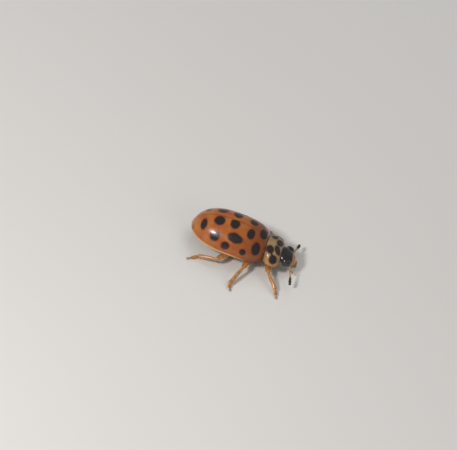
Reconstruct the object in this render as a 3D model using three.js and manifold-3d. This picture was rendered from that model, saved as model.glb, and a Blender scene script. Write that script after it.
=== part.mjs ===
// A water ladybird, life size: a long, rather flat beetle of 4 mm with nineteen spots, in mid stride on six legs.
// Millimetres. +X is forward, to the head, +Y is the beetle's left and +Z is up, with the floor at Z = 0.
// Every plate, leg part and feeler is a solid of its own, and a seam parts it from its neighbours.
import * as THREE from "three";
import { mergeVertices } from "three/addons/utils/BufferGeometryUtils.js";
import Module from "manifold-3d";

const wasm = await Module();
wasm.setup();

// ---- Driving dimensions ----
// X is counted from the middle of the body. The group is moved at the end, to stand on its own middle.
const SEAM = 0.03; // between two neighbouring solids
const MARGIN_Z = 0.53; // the side edge of the wing cases, over the floor
const SECTION_POWER = 2.06; // how square the body is across: 2 is an ellipse

const WING_CASES = {
  rear: -1.9, // the tip
  base: 0.88, // the front edge, on the midline
  frontEnd: 1.06, // where the sides would meet if the shoulders ran on
  halfWidth: 0.98,
  widestX: -0.35,
  height: 0.81, // over the margin
  highestX: -0.46,
  slopeEnd: 1.25, // where the back would come down to the margin if it ran on
  rim: 0.03, // depth of the turned-down edge
};
const BASE_ARC_RADIUS = 3.6; // the neck shield's hind edge bows back into the wing cases

const NECK_SHIELD = {
  rearEnd: 0.62,
  widestX: 1.25,
  frontEnd: 1.7,
  halfWidth: 0.76,
  height: 0.45,
  highestX: 0.9,
  slopeEnd: 1.56, // where its back would come down to the margin
  rim: 0.03,
  frontMiddle: 1.46, // the front edge, on the midline
};
const FRONT_ARC_RADIUS = 1.2; // its front edge is hollow, to take the head

const BODY_Z = 0.48; // where the body is widest, just under the shell's edge
const TRUNK = {
  rear: -1.78,
  front: 0.97,
  inset: 0.1, // how far its sides lie inside the wing cases' edges
  keelFront: 1.9, // where the keel would rise to the sides if it ran on
  depth: 0.21,
  fill: 0.68, // how much of the shell's height it takes
};
const ABDOMEN_X = -0.12; // between the wing-bearing rings and the abdomen
const NECK_RING = { rear: 0.8, front: 1.5, inset: 0.13, depth: 0.2, fill: 0.62 };

const SCUTELLUM = { halfWidth: 0.11, length: 0.16, bottomZ: 0.9 };

// The head looks forward and down, and a little to the left. It turns on the neck. Angles are in radians.
const NECK_X = 1.45;
const HEAD_PITCH = 0.5;
const HEAD_YAW = 0.06;
const HEAD = { x: 1.71, z: 0.49, long: 0.35, wide: 0.41, high: 0.22 };
const EYE = { x: 1.74, y: 0.36, z: 0.51, long: 0.19, wide: 0.13, high: 0.18 };
const LABRUM = { x: 2.0, z: 0.31, long: 0.13, wide: 0.24, high: 0.07 };
const MOUTH = { x: 1.86, z: 0.22, long: 0.15, wide: 0.19, high: 0.12 };
const PALP = { x: 1.99, y: 0.27, z: 0.19, long: 0.13, wide: 0.09, high: 0.09 };

const FEELERS = {
  right: { base: [1.93, -0.36, 0.4], joint: [2.07, -0.78, 0.31], tip: [2.12, -0.95, 0.27] },
  left: { base: [1.9, 0.38, 0.4], joint: [1.95, 0.82, 0.29], tip: [1.97, 0.98, 0.26] },
};

// Half the thickness of each leg part and feeler at its start, its middle and its end.
const FEMUR_RADII = [0.2, 0.225, 0.2];
const TIBIA_RADII = [0.19, 0.2, 0.21];
const TARSUS_RADII = [0.19, 0.21, 0.19];
const FEELER_RADII = [0.19, 0.2, 0.2];
const CLUB_RADII = [0.2, 0.22, 0.2];
const LEG_Z = 0.25; // hips and knees, so low that the thighs clear the wing cases
const ANKLE_Z = 0.24;
const TARSUS_Z = 0.16; // less than its radius, so that the floor cuts a flat sole

// Each leg as it stands, seen from above: hip, knee, ankle and the last joint of the foot.
const LEGS = {
  front_right: [[1.14, -0.42], [1.27, -0.93], [1.72, -1.38], [1.82, -1.62]],
  middle_right: [[0.48, -0.44], [0.38, -1.15], [0.12, -1.9], [0.21, -2.05]],
  hind_right: [[-0.16, -0.46], [-0.62, -1.2], [-1.26, -1.14], [-1.5, -1.31]],
  front_left: [[1.14, 0.42], [1.12, 0.94], [0.96, 1.24], [0.9, 1.4]],
  middle_left: [[0.48, 0.44], [0.4, 1.08], [0.12, 1.4], [-0.08, 1.54]],
  hind_left: [[-0.16, 0.46], [-0.42, 1.06], [-1.0, 1.2], [-1.22, 1.34]],
};

// ---- Solids ----

// A closed three.js geometry as a solid that can be joined and cut.
function solid(geometry) {
  const bare = geometry.clone();
  bare.deleteAttribute("normal");
  bare.deleteAttribute("uv");
  const merged = mergeVertices(bare, 1e-5);
  return new wasm.Manifold(
    new wasm.Mesh({
      numProp: 3,
      vertProperties: new Float32Array(merged.attributes.position.array),
      triVerts: new Uint32Array(merged.index.array),
    }),
  );
}

// The solid back as a geometry to draw.
function geometryOf(body) {
  const mesh = body.getMesh();
  const geometry = new THREE.BufferGeometry();
  geometry.setAttribute("position", new THREE.BufferAttribute(new Float32Array(mesh.vertProperties), 3));
  geometry.setIndex(new THREE.BufferAttribute(new Uint32Array(mesh.triVerts), 1));
  geometry.computeVertexNormals();
  return geometry;
}

// How full a rounded outline is, from 1 at its widest to 0 at its end.
function fullness(share, power) {
  return Math.sqrt(Math.max(0, 1 - Math.min(1, Math.abs(share)) ** power));
}

// A value that swells from one end to a widest place and falls to the other end.
function swell(x, rearEnd, widest, frontEnd, rearPower, frontPower) {
  if (x < widest) {
    return fullness((widest - x) / (widest - rearEnd), rearPower);
  }
  return fullness((x - widest) / (frontEnd - widest), frontPower);
}

// A long body along X, drawn over a sphere: its sides, top and bottom are functions of X, and it is widest at one level.
function longBody(rear, front, level, halfWidth, top, bottom, around, along) {
  const sphere = new THREE.SphereGeometry(1, around, along);
  const position = sphere.attributes.position;
  for (let i = 0; i < position.count; i += 1) {
    const x = THREE.MathUtils.lerp(rear, front, (1 - position.getY(i)) / 2);
    const side = Math.atan2(position.getZ(i), position.getX(i));
    const ring = Math.hypot(position.getX(i), position.getZ(i)) > 1e-6 ? 1 : 0;
    const across = Math.sign(Math.cos(side)) * Math.abs(Math.cos(side)) ** (2 / SECTION_POWER);
    const upward = Math.sign(Math.sin(side)) * Math.abs(Math.sin(side)) ** (2 / SECTION_POWER);
    const height = upward > 0 ? top(x) - level : level - bottom(x);
    position.setXYZ(i, x, ring * halfWidth(x) * across, level + ring * height * upward);
  }
  return solid(sphere);
}

// A rounded piece of the head, pitched and turned as the head is.
function headPiece(size, side, grow, around, along) {
  const sphere = new THREE.SphereGeometry(1, around, along);
  sphere.scale(size.long + grow, size.wide + grow, size.high + grow);
  sphere.rotateY(HEAD_PITCH);
  sphere.translate(size.x - NECK_X, side * (size.y ?? 0), size.z);
  sphere.rotateZ(HEAD_YAW);
  sphere.translate(NECK_X, 0, 0);
  return solid(sphere);
}

// A round-ended limb from one point to another, as thick as the three radii say.
function limb(from, to, radii, grow) {
  const start = new THREE.Vector3(...from);
  const along = new THREE.Vector3(...to).sub(start);
  const length = along.length();
  const [first, middle, last] = radii.map((radius) => radius + grow);
  const profile = [
    [0, -first],
    [first * Math.SQRT1_2, -first * Math.SQRT1_2],
    [first, 0],
    [middle, length / 2],
    [last, length],
    [last * Math.SQRT1_2, length + last * Math.SQRT1_2],
    [0, length + last],
  ].map(([radius, height]) => new THREE.Vector2(radius, height));
  const lathe = new THREE.LatheGeometry(profile, 9);
  const turn = new THREE.Quaternion().setFromUnitVectors(new THREE.Vector3(0, 1, 0), along.normalize());
  lathe.applyQuaternion(turn);
  lathe.translate(...start.toArray());
  return solid(lathe);
}

// A block between two corners.
function block(low, high) {
  const size = high.map((value, axis) => value - low[axis]);
  const box = new THREE.BoxGeometry(...size);
  box.translate(...high.map((value, axis) => (value + low[axis]) / 2));
  return solid(box);
}

// An upright drum, round in plan.
function drum(x, radius) {
  const cylinder = new THREE.CylinderGeometry(radius, radius, 4, 96);
  cylinder.rotateX(Math.PI / 2);
  cylinder.translate(x, 0, 1);
  return solid(cylinder);
}

// One side of the midline, which the seam leaves free.
function halfSpace(side, seam) {
  return side > 0 ? block([-4, seam / 2, -1], [4, 4, 4]) : block([-4, -4, -1], [4, -seam / 2, 4]);
}

// Everything between two places along the body.
function slice(rear, front) {
  return block([rear, -3, -1], [front, 3, 3]);
}

// What is left of a body once its neighbours and a seam round them are taken away.
function clearOf(body, ...neighbours) {
  return neighbours.reduce((left, neighbour) => left.subtract(neighbour), body);
}

// ---- The shell ----

function wingCaseWidth(x) {
  const { rear, widestX, frontEnd, halfWidth } = WING_CASES;
  return halfWidth * swell(x, rear, widestX, frontEnd, 2.5, 4);
}

function wingCaseTop(x) {
  const { rear, highestX, slopeEnd, height } = WING_CASES;
  return MARGIN_Z + height * swell(x, rear, highestX, slopeEnd, 2.3, 2.2);
}

function wingCaseDome() {
  const { rear, frontEnd, rim } = WING_CASES;
  return longBody(rear, frontEnd, MARGIN_Z, wingCaseWidth, wingCaseTop, () => MARGIN_Z - rim, 28, 24);
}

function neckShieldWidth(x) {
  const { rearEnd, widestX, frontEnd, halfWidth } = NECK_SHIELD;
  return halfWidth * swell(x, rearEnd, widestX, frontEnd, 2.4, 2);
}

function neckShieldTop(x) {
  const { highestX, slopeEnd, height } = NECK_SHIELD;
  return MARGIN_Z + height * fullness(Math.max(0, x - highestX) / (slopeEnd - highestX), 1.5);
}

function neckShieldDome() {
  const { rearEnd, frontEnd, rim } = NECK_SHIELD;
  return longBody(rearEnd, frontEnd, MARGIN_Z, neckShieldWidth, neckShieldTop, () => MARGIN_Z - rim, 24, 16);
}

// The arc where the neck shield and the wing cases meet, bowed to the rear.
function baseDrum(grow) {
  return drum(WING_CASES.base + BASE_ARC_RADIUS, BASE_ARC_RADIUS + grow);
}

// ---- The body under the shell ----

// How high the body reaches under a shell: a share of the way from its own widest level to the shell's top.
function under(shellTop, fill) {
  return (x) => THREE.MathUtils.lerp(BODY_Z, shellTop(x), fill);
}

// The part that carries the wing cases: two rings of the thorax, and the abdomen.
function trunk(grow) {
  const { rear, front, inset, keelFront, depth, fill } = TRUNK;
  const { widestX, halfWidth } = WING_CASES;
  const taper = (x) => swell(x, rear, widestX, keelFront, 2.4, 3);
  const width = (x) => grow + Math.min(wingCaseWidth(x) - inset, (halfWidth - inset) * taper(x));
  const top = (x) => grow + under(wingCaseTop, Math.min(fill, taper(x)))(x);
  const bottom = (x) => BODY_Z - depth * taper(x) - grow;
  return longBody(rear - grow, front, BODY_Z, width, top, bottom, 22, 16);
}

// The ring under the neck shield, which carries the front legs.
function neckRing(grow) {
  const { rear, front, inset, depth, fill } = NECK_RING;
  const width = (x) => grow + neckShieldWidth(x) - inset;
  const top = (x) => grow + under(neckShieldTop, fill)(x);
  const bottom = () => BODY_Z - depth - grow;
  return longBody(rear, front + grow, BODY_Z, width, top, bottom, 22, 8);
}

// The little three-sided plate between the wing cases, at their front.
function scutellumPrism(grow) {
  const { halfWidth, length, bottomZ } = SCUTELLUM;
  const front = WING_CASES.base + 0.1;
  const rear = WING_CASES.base - length - 2 * grow;
  const outline = new THREE.Shape([
    new THREE.Vector2(rear, 0),
    new THREE.Vector2(front, -halfWidth - 1.5 * grow),
    new THREE.Vector2(front, halfWidth + 1.5 * grow),
  ]);
  const prism = new THREE.ExtrudeGeometry(outline, { depth: 2, bevelEnabled: false, steps: 1 });
  prism.translate(0, 0, bottomZ);
  return solid(prism);
}

// ---- Head ----

const headBody = (grow) => headPiece(HEAD, 0, grow, 20, 12);
const eyeBody = (side, grow) => headPiece(EYE, side, grow, 12, 9);
const labrumBody = (grow) => headPiece(LABRUM, 0, grow, 14, 8);
const mouthBody = (grow) => headPiece(MOUTH, 0, grow, 12, 8);
const palpBody = (side, grow) => headPiece(PALP, side, grow, 10, 6);

function feelerParts({ base, joint, tip }) {
  return {
    shaft: (grow) => limb(base, joint, FEELER_RADII, grow),
    club: (grow) => limb(joint, tip, CLUB_RADII, grow),
  };
}

// ---- Legs ----

function legParts([hip, knee, ankle, toe]) {
  const heights = [LEG_Z, LEG_Z, ANKLE_Z, TARSUS_Z];
  const points = [hip, knee, ankle, toe].map(([x, y], i) => [x, y, heights[i]]);
  return {
    femur: (grow) => limb(points[0], points[1], FEMUR_RADII, grow),
    tibia: (grow) => limb(points[1], points[2], TIBIA_RADII, grow),
    tarsus: (grow) => limb(points[2], points[3], TARSUS_RADII, grow),
  };
}

const legs = Object.entries(LEGS).map(([name, places]) => ({ name, ...legParts(places) }));
const feelers = Object.entries(FEELERS).map(([name, places]) => ({ name, ...feelerParts(places) }));
const thighs = legs.map((leg) => leg.femur(SEAM));

// ---- Materials ----

function material(color, roughness) {
  return new THREE.MeshStandardMaterial({ color, roughness, metalness: 0 });
}

const orangeShell = material(0xc8642a, 0.3);
const buffShell = material(0xc9a468, 0.35);
const blackShell = material(0x26221f, 0.3);
const eyeGloss = material(0x141312, 0.15);
const brownShell = material(0x8f5a34, 0.4);
const legAmber = material(0xb9803f, 0.4);
const underside = material(0x3a2c22, 0.5);

// ---- The beetle ----

const beetle = new THREE.Group();

function place(name, body, finish) {
  const mesh = new THREE.Mesh(geometryOf(body), finish);
  mesh.name = name;
  beetle.add(mesh);
}

const frontOfBase = baseDrum(0);
const behindBase = baseDrum(SEAM);

const dome = clearOf(wingCaseDome(), behindBase, trunk(SEAM), scutellumPrism(SEAM / 2));
place("elytron_right", dome.intersect(halfSpace(-1, SEAM)), orangeShell);
place("elytron_left", dome.intersect(halfSpace(1, SEAM)), orangeShell);
place("scutellum", clearOf(wingCaseDome().intersect(scutellumPrism(0)), behindBase, trunk(SEAM)), orangeShell);

const frontDrum = drum(NECK_SHIELD.frontMiddle + FRONT_ARC_RADIUS, FRONT_ARC_RADIUS);
const shield = clearOf(neckShieldDome().intersect(frontOfBase), frontDrum, neckRing(SEAM), headBody(SEAM));
place("pronotum", shield, buffShell);
place("prothorax", clearOf(neckRing(0).intersect(frontOfBase), headBody(SEAM), ...thighs), underside);

const bareTrunk = clearOf(trunk(0), behindBase, ...thighs);
place("thorax", bareTrunk.intersect(slice(ABDOMEN_X + SEAM / 2, 2)), underside);
place("abdomen", bareTrunk.intersect(slice(-3, ABDOMEN_X - SEAM / 2)), underside);

const eyes = [eyeBody(-1, SEAM), eyeBody(1, SEAM)];
place("head_capsule", clearOf(headBody(0), ...eyes), blackShell);
place("eye_right", eyeBody(-1, 0), eyeGloss);
place("eye_left", eyeBody(1, 0), eyeGloss);
place("labrum", clearOf(labrumBody(0), headBody(SEAM)), brownShell);
place("mouthparts", clearOf(mouthBody(0), headBody(SEAM), labrumBody(SEAM)), brownShell);
const face = [headBody(SEAM), labrumBody(SEAM), mouthBody(SEAM), ...eyes];
place("palp_right", clearOf(palpBody(-1, 0), ...face), brownShell);
place("palp_left", clearOf(palpBody(1, 0), ...face), brownShell);

const palps = [palpBody(-1, SEAM), palpBody(1, SEAM)];
feelers.forEach(({ name, shaft, club }) => {
  place(`feeler_${name}`, clearOf(shaft(0), ...face, ...palps), legAmber);
  place(`feeler_club_${name}`, clearOf(club(0), shaft(SEAM), ...face, ...palps), blackShell);
});

const aboveFloor = block([-4, -4, 0], [4, 4, 4]);
legs.forEach(({ name, femur, tibia, tarsus }) => {
  place(`${name}_femur`, femur(0), legAmber);
  place(`${name}_tibia`, clearOf(tibia(0), femur(SEAM)), legAmber);
  place(`${name}_tarsus`, clearOf(tarsus(0), tibia(SEAM)).intersect(aboveFloor), legAmber);
});

// The origin is on the floor, under the middle of everything from toe to toe and tail to feeler.
const box = new THREE.Box3().setFromObject(beetle);
const middle = box.getCenter(new THREE.Vector3());
beetle.position.set(-middle.x, -middle.y, 0);

export default beetle;
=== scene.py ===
# A water ladybird, 4 mm long: a long, flattish beetle with nineteen spots, in mid stride on six legs.
# The sections follow the animal as it is put together. The table, lights and camera come last.
import math
import random

import bmesh
import bpy
from mathutils import Matrix, Vector


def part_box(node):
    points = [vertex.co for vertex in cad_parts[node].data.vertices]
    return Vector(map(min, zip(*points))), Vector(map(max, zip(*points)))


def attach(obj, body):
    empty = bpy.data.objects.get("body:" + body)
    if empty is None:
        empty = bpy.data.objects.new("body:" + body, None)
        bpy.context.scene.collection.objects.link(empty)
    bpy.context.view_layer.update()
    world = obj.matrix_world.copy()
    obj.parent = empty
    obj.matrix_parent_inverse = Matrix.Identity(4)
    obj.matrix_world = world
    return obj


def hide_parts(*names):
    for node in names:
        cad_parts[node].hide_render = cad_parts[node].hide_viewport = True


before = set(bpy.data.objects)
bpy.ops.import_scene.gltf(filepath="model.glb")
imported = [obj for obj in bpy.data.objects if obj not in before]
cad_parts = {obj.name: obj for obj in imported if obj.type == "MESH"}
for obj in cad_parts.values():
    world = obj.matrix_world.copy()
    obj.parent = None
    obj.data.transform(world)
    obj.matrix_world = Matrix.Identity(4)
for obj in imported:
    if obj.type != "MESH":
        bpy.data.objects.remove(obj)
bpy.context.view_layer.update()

# ---- Abdomen ----
# The soft hind body, joined over its whole width to the thorax. Six hard belly plates close it below.
# They overlap like roof tiles, each hind edge standing proud of the next, and are black along the
# middle and buff towards the sides.

# Every piece is shaped in millimetres round the body's own middle, with X forward, Y left and Z up from
# the table, and then shrunk into its place.
MM = 0.001
REAR_TIP = -1.9
right_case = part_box("elytron_right")
left_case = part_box("elytron_left")
BODY_MIDDLE = Vector((right_case[0].x - REAR_TIP * MM, (right_case[1].y + left_case[0].y) / 2, 0))

# What is nearer than this counts as the same place.
CLOSE = 1e-4
LEAST_RADIUS = 1e-3

MARGIN_Z = 0.53
BODY_Z = 0.48
CASE_HALF_WIDTH = 0.98
CASE_HEIGHT = 0.81
CASE_WIDEST_X = -0.35
CASE_HIGHEST_X = -0.46
# The curves of the wing cases' sides and top would close here, ahead of their bases.
CASE_SIDES_END_X = 1.06
CASE_TOP_END_X = 1.25

TRUNK_REAR_X = -1.78
TRUNK_FRONT_X = 0.97
TRUNK_TAPER_END_X = 1.9
TRUNK_INSET = 0.1
TRUNK_DEPTH = 0.21
TRUNK_FILL = 0.68
ABDOMEN_SPLIT_X = -0.12
RING_GAP = 0.008
# The hind edges of the belly plates. The last plate ends at the rear.
PLATE_EDGES = (-0.45, -0.72, -0.98, -1.22, -1.46)
PLATE_STEP = 0.022

BELLY_BLACK = (0.018, 0.012, 0.009)
BELLY_BUFF = (0.42, 0.22, 0.085)
JOINT_SKIN = (0.34, 0.17, 0.06)
MOTTLE_BROWN = (0.03, 0.018, 0.012)


class Signal:
    """One socket of a material's nodes, which plain arithmetic works on."""

    def __init__(self, tree, socket=None):
        self.tree = tree
        self.socket = socket

    def node(self, kind, settings, inputs, output=0):
        """Adds a node: its settings first, then what goes into its sockets."""
        made = self.tree.nodes.new(kind)
        for name, value in settings.items():
            setattr(made, name, value)
        for name, value in inputs.items():
            if isinstance(value, Signal):
                self.tree.links.new(value.socket, made.inputs[name])
            else:
                made.inputs[name].default_value = value
        return Signal(self.tree, made.outputs[output])

    def maths(self, operation, first, second=0.0):
        return self.node("ShaderNodeMath", {"operation": operation}, {0: first, 1: second})

    def __add__(self, other):
        return self.maths("ADD", self, other)

    __radd__ = __add__

    def __sub__(self, other):
        return self.maths("SUBTRACT", self, other)

    def __rsub__(self, other):
        return self.maths("SUBTRACT", other, self)

    def __mul__(self, other):
        return self.maths("MULTIPLY", self, other)

    __rmul__ = __mul__

    def least(self, other):
        return self.maths("MINIMUM", self, other)

    def size(self):
        return self.maths("ABSOLUTE", self)

    def between(self, low, high):
        """0 up to low, 1 from high on, and a soft step from one to the other."""
        settings = {"interpolation_type": "SMOOTHSTEP"}
        return self.node("ShaderNodeMapRange", settings, {"Value": self, "From Min": low, "From Max": high})

    def axis(self, name):
        """One axis of a place."""
        return self.node("ShaderNodeSeparateXYZ", {}, {"Vector": self}, name)

    def vector(self, operation, other, output="Vector"):
        return self.node("ShaderNodeVectorMath", {"operation": operation}, {0: self, 1: other}, output)

    def length(self):
        return self.vector("LENGTH", (0, 0, 0), "Value")

    def noise(self, scale, detail=2.0, output=0):
        """Soft clouds, so many to the millimetre. The output "Color" gives one for each axis."""
        inputs = {"Vector": self, "Scale": scale, "Detail": detail}
        return self.node("ShaderNodeTexNoise", {}, inputs, output)

    def cells(self, scale):
        """How far a place is from the middle of the cell that it is in."""
        return self.node("ShaderNodeTexVoronoi", {}, {"Vector": self, "Scale": scale})

    def blend(self, first, second):
        """The first colour where this is 0 and the second where it is 1."""
        first, second = (colour if isinstance(colour, Signal) else (*colour, 1) for colour in (first, second))
        # These numbers are the Mix node's sockets for colours.
        return self.node("ShaderNodeMix", {"data_type": "RGBA"}, {0: self, 6: first, 7: second}, 2)


def start_finish(name, **constants):
    """A new material: its shader, and the place on the body in millimetres that its patterns read."""
    material = bpy.data.materials.new(name)
    material.use_nodes = True
    shader = material.node_tree.nodes["Principled BSDF"]
    for socket, value in constants.items():
        shader.inputs[socket.replace("_", " ")].default_value = value
    place = Signal(material.node_tree).node("ShaderNodeTexCoord", {}, {}, "Object")
    inputs = {"Vector": place, "Location": -BODY_MIDDLE / MM, "Scale": (1 / MM, 1 / MM, 1 / MM)}
    return material, place.node("ShaderNodeMapping", {}, inputs)


def dress(material, colour, roughness=None, relief=None, depth=0.0):
    """Joins the patterns to the shader. The depth of the relief is in millimetres."""
    tree = material.node_tree
    shader = tree.nodes["Principled BSDF"]
    tree.links.new(colour.socket, shader.inputs["Base Color"])
    if roughness:
        tree.links.new(roughness.socket, shader.inputs["Roughness"])
    if relief:
        inputs = {"Height": relief, "Distance": depth * MM, "Strength": 1.0}
        bump = relief.node("ShaderNodeBump", {}, inputs)
        tree.links.new(bump.socket, shader.inputs["Normal"])
    return material


def select_nothing():
    bpy.ops.object.select_all(action="DESELECT")


def only(piece):
    """Makes this piece the only one that the next operators work on."""
    select_nothing()
    piece.select_set(True)
    bpy.context.view_layer.objects.active = piece


def open_up(piece):
    """Enters edit mode on one piece, to select vertices."""
    only(piece)
    bpy.ops.object.mode_set(mode="EDIT")
    bpy.ops.mesh.select_mode(type="VERT")


def close_up():
    bpy.ops.object.mode_set(mode="OBJECT")


def ball(name, around, along):
    """A ball of radius 1 with its poles at the front and the rear, ready to be shaped."""
    select_nothing()
    bpy.ops.mesh.primitive_uv_sphere_add(segments=around, ring_count=along, rotation=(0, math.pi / 2, 0))
    bpy.ops.object.transform_apply(location=False, rotation=True, scale=False)
    piece = bpy.context.object
    piece.name = name
    return piece


def fullness(share, power):
    """How full a rounded outline is, from 1 at its widest to 0 at its end. A high power is squarer."""
    return math.sqrt(max(0.0, 1 - min(1.0, abs(share)) ** power))


def swell(x, rear_end, widest, front_end, rear_power, front_power):
    """A value that swells from one end to a widest place and falls to the other end."""
    if x < widest:
        return fullness((widest - x) / (widest - rear_end), rear_power)
    return fullness((x - widest) / (front_end - widest), front_power)


def long_body(name, rear, front, level, half_width, top, bottom, around, along):
    """A ball drawn out along X, each ring resized to the width, top and bottom that are right there."""
    piece = ball(name, around, along)
    rings = {}
    for vertex in piece.data.vertices:
        rings.setdefault(round(vertex.co.x, 4), []).append((vertex.index, vertex.co.z > -CLOSE))
    open_up(piece)
    mesh = bmesh.from_edit_mesh(piece.data)
    for along_x, ring in rings.items():
        radius = math.sqrt(max(0.0, 1 - along_x**2))
        if radius < LEAST_RADIUS:
            continue
        x = rear + (front - rear) * (along_x + 1) / 2
        for upper, height in ((True, top(x) - level), (False, level - bottom(x))):
            bpy.ops.mesh.select_all(action="DESELECT")
            mesh.verts.ensure_lookup_table()
            for index, is_upper in ring:
                mesh.verts[index].select = is_upper == upper
            wide, high = (max(size, LEAST_RADIUS) / radius for size in (half_width(x), height))
            bpy.ops.transform.resize(value=(1, wide, high), center_override=(along_x, 0, 0))
    bpy.ops.mesh.select_all(action="SELECT")
    bpy.ops.transform.resize(value=((front - rear) / 2, 1, 1), center_override=(0, 0, 0))
    bpy.ops.transform.translate(value=((front + rear) / 2, 0, level))
    close_up()
    return piece


def cut_off(piece, behind=None, ahead=None):
    """Cuts off what lies behind or ahead of a place along the body, and closes the square cuts."""
    open_up(piece)
    for x, toward in ((behind, -1), (ahead, 1)):
        if x is not None:
            bpy.ops.mesh.select_all(action="SELECT")
            bpy.ops.mesh.bisect(plane_co=(x, 0, 0), plane_no=(toward, 0, 0), clear_outer=True, use_fill=True)
    close_up()


def settle(piece, finish, slot, *nodes, crease=40):
    """Shrinks a finished piece into its place in the frame. The slot that it is given is not used."""
    only(piece)
    piece.scale = (MM, MM, MM)
    piece.location = BODY_MIDDLE
    bpy.ops.object.transform_apply()
    open_up(piece)
    bpy.ops.mesh.select_all(action="SELECT")
    bpy.ops.mesh.normals_make_consistent(inside=False)
    close_up()
    bpy.ops.object.shade_smooth_by_angle(angle=math.radians(crease))
    piece.data.materials.clear()
    piece.data.materials.append(finish)
    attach(piece, "root")
    if nodes:
        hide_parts(*nodes)


def case_width(x):
    return CASE_HALF_WIDTH * swell(x, REAR_TIP, CASE_WIDEST_X, CASE_SIDES_END_X, 2.5, 4)


def case_top(x):
    return MARGIN_Z + CASE_HEIGHT * swell(x, REAR_TIP, CASE_HIGHEST_X, CASE_TOP_END_X, 2.3, 2.2)


def trunk_taper(x):
    return swell(x, TRUNK_REAR_X, CASE_WIDEST_X, TRUNK_TAPER_END_X, 2.4, 3)


def trunk_width(x):
    return min(case_width(x) - TRUNK_INSET, (CASE_HALF_WIDTH - TRUNK_INSET) * trunk_taper(x))


def trunk_top(x):
    return BODY_Z + (case_top(x) - BODY_Z) * min(TRUNK_FILL, trunk_taper(x))


def plated_belly(x):
    """The underside, which steps up a little behind the hind edge of each plate."""
    step = 0.0
    for rear_edge, front_edge in zip(PLATE_EDGES, (ABDOMEN_SPLIT_X, *PLATE_EDGES)):
        if rear_edge <= x < front_edge:
            step = PLATE_STEP * (front_edge - x) / (front_edge - rear_edge)
    return BODY_Z - (TRUNK_DEPTH - PLATE_STEP) * trunk_taper(x) - step


belly_finish, place = start_finish("belly_cuticle", Coat_Weight=0.35, Coat_Roughness=0.2)
from_middle = place.axis("Y").size() + place.noise(7.0) * 0.12
belly_colour = from_middle.between(0.42, 0.72).blend(BELLY_BLACK, BELLY_BUFF)
joint_line = None
for joint_x in PLATE_EDGES:
    away = (place.axis("X") - joint_x).size()
    joint_line = joint_line.least(away) if joint_line else away
belly_colour = ((1 - joint_line.between(0.004, 0.02)) * 0.8).blend(belly_colour, JOINT_SKIN)
mottled = place.noise(30.0, 4.0)
belly_colour = (mottled * 0.5).blend(belly_colour, MOTTLE_BROWN)
dress(belly_finish, belly_colour, mottled * 0.25 + 0.3, place.cells(34.0), 0.004)

trunk_ends = (TRUNK_REAR_X, TRUNK_FRONT_X)
abdomen = long_body("abdomen_rings", *trunk_ends, BODY_Z, trunk_width, trunk_top, plated_belly, 64, 120)
cut_off(abdomen, ahead=ABDOMEN_SPLIT_X - RING_GAP)
settle(abdomen, belly_finish, "underside", "abdomen", crease=25)

# ---- Middle and hind rings of the thorax ----
# One hard box of horn that carries the wings and the four hind legs. Its underside has a groove along
# the middle, and round the socket of each hip it stands out in a raised rim.

HIPS = {"front": (1.1, 0.2), "middle": (0.5, 0.27), "hind": (-0.1, 0.3)}
SOCKET_RADIUS = 0.15
SOCKET_FLOOR_RADIUS = 0.08
SOCKET_FLOOR_EDGE = 0.06
RIM_WIDTH = 0.05
RIM_HEIGHT = 0.016
GROOVE_WIDTH = 0.035
CARVED_BELOW_Z = BODY_Z - 0.05
THORAX_FRONT_X = 0.87


def reshape(piece, moved):
    """Moves every vertex to where the given function says."""
    open_up(piece)
    mesh = bmesh.from_edit_mesh(piece.data)
    for vertex in mesh.verts:
        vertex.co = moved(vertex.co)
    bmesh.update_edit_mesh(piece.data)
    close_up()


def modify(piece, kind, **settings):
    """Adds a modifier and applies it at once."""
    only(piece)
    modifier = piece.modifiers.new(kind.title(), kind)
    for name, value in settings.items():
        setattr(modifier, name, value)
    bpy.ops.object.modifier_apply(modifier=modifier.name)


def round_off(piece, width, segments, angle):
    """Rounds off the edges of a piece that are sharper than this angle."""
    limit = math.radians(angle)
    modify(piece, "BEVEL", width=width, segments=segments, limit_method="ANGLE", angle_limit=limit)


def ridge(away, width):
    """A smooth ridge: 1 on its crest, and almost 0 at its width away from the crest."""
    return math.exp(-4 * (away / width) ** 2)


def carved_belly(at):
    """Raises a rim round each hip socket of a belly, and sinks the socket and a groove in the middle."""
    if at.z > CARVED_BELOW_Z:
        return at
    away = min(math.hypot(at.x - x, abs(at.y) - y) for x, y in HIPS.values())
    groove = ridge(at.y, GROOVE_WIDTH)
    rim = ridge(away - SOCKET_RADIUS, RIM_WIDTH)
    socket = ridge(max(0, away - SOCKET_FLOOR_RADIUS), SOCKET_FLOOR_EDGE)
    return at + Vector((0, 0, RIM_HEIGHT * (groove - rim + socket)))


def ring_box(name, rear, front, half_width, top, bottom, **cuts):
    """A ring of the thorax, with its groove and the rims of its hip sockets."""
    piece = long_body(name, rear, front, BODY_Z, half_width, top, bottom, 192, 160)
    reshape(piece, carved_belly)
    cut_off(piece, **cuts)
    round_off(piece, 0.012, 3, 60)
    return piece


def thorax_belly(x):
    return BODY_Z - TRUNK_DEPTH * trunk_taper(x)


cuts = {"behind": ABDOMEN_SPLIT_X, "ahead": THORAX_FRONT_X}
thorax = ring_box("thorax_rings", *trunk_ends, trunk_width, trunk_top, thorax_belly, **cuts)
settle(thorax, belly_finish, "underside", "thorax")

# ---- Front ring of the thorax ----
# The hard ring of horn under the neck shield. It carries the front legs, and narrows at its front to
# the neck, where the back of the head is seated.

NECK_HALF_WIDTH = 0.76
NECK_SIDES_START_X = 0.62
NECK_WIDEST_X = 1.25
NECK_SIDES_END_X = 1.7
NECK_HEIGHT = 0.45
NECK_HIGHEST_X = 0.9
NECK_LOWEST_X = 1.56
COLLAR_BACK = 0.8
COLLAR_REAR = 0.873
COLLAR_FULL = 1.24
COLLAR_FRONT = 1.48
COLLAR_INSET = 0.13
COLLAR_DEPTH = 0.2
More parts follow.
